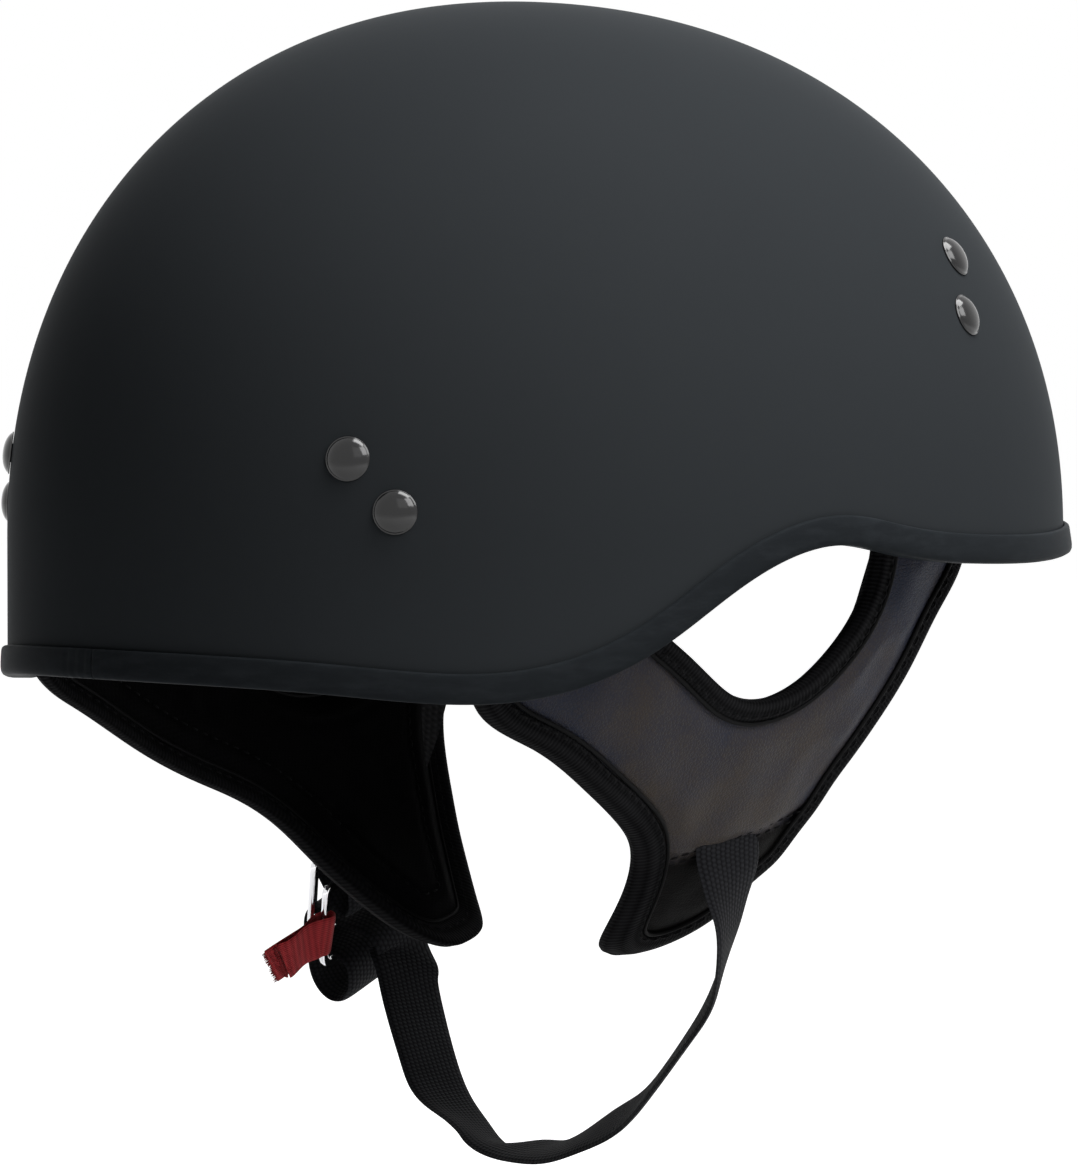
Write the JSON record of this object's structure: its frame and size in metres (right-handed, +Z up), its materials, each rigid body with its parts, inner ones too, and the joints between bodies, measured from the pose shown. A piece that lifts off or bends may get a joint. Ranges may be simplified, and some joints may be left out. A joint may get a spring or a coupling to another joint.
{
  "type": "half_shell_helmet_with_ear_flaps",
  "caption": "Half shell motorcycle helmet, satin black, with a moulded rim trim, riveted Y strap harness, padded leather ear flaps, a double D-ring buckle and a red pull tab.",
  "frame": {"origin": "middle of the wearer's head, on the level where the shell is widest and under its highest point", "axes": "-Y is the way the wearer faces, +X is the wearer's left, +Z is up"},
  "size_m": [0.2272, 0.2722, 0.277],
  "materials": {
    "shell_paint": "satin",
    "trim_plastic": "satin",
    "liner_foam": "matte",
    "pad_fabric": "matte",
    "rivet_black": "gloss",
    "steel": "satin",
    "clip_plastic": "satin",
    "webbing": "matte",
    "leather": "satin",
    "flap_foam": "matte",
    "edge_tape": "matte",
    "chrome": "polished",
    "tab_ribbon": "matte"
  },
  "bodies": {
    "helmet": {"outer_shell": "shell_paint", "rim_trim": "trim_plastic", "eps_liner": "liner_foam", "crown_pad": "pad_fabric", "brow_pad": "pad_fabric", "nape_pad": "pad_fabric", "right_side_pad": "pad_fabric", "left_side_pad": "pad_fabric", "strap_rivets": "rivet_black", "rivet_washers": "steel", "flap_clips": "clip_plastic", "right_front_strap_leg": "webbing", "right_rear_strap_leg": "webbing", "right_strap_exit": "webbing", "right_flap_leather": "leather", "right_flap_foam": "flap_foam", "right_flap_lining": "pad_fabric", "right_flap_edge_tape": "edge_tape", "right_flap_ear_tape": "edge_tape", "left_front_strap_leg": "webbing", "left_rear_strap_leg": "webbing", "left_strap_exit": "webbing", "left_flap_leather": "leather", "left_flap_foam": "flap_foam", "left_flap_lining": "pad_fabric", "left_flap_edge_tape": "edge_tape", "left_flap_ear_tape": "edge_tape"},
    "chin_strap_loop": {"chin_strap": "webbing", "short_strap": "webbing"},
    "outer_ring": {"outer_d_ring": "chrome"},
    "inner_ring": {"inner_d_ring": "chrome"},
    "tab": {"pull_tab": "tab_ribbon"}
  },
  "joints": [
    {"name": "strap_swing", "type": "hinge", "parent": "helmet", "child": "chin_strap_loop", "pos_m": [-0.06481, -0.00818, -0.07003], "axis": [1, 0, 0], "range_deg": [-25, 20]},
    {"name": "outer_ring_tilt", "type": "hinge", "parent": "chin_strap_loop", "child": "outer_ring", "pos_m": [0.07514, -0.00855, -0.07777], "axis": [0.2397, -0.9139, 0.3276], "range_deg": [-2, 2.5]},
    {"name": "inner_ring_tilt", "type": "hinge", "parent": "chin_strap_loop", "child": "inner_ring", "pos_m": [0.0738, -0.0112, -0.08418], "axis": [0.2397, -0.9139, 0.3276], "range_deg": [-4, 2]},
    {"name": "tab_swing", "type": "hinge", "parent": "inner_ring", "child": "tab", "pos_m": [0.0752, -0.00261, -0.09941], "axis": [-0.3571, 0.2308, 0.9051], "range_deg": [-8, 8]}
  ]
}
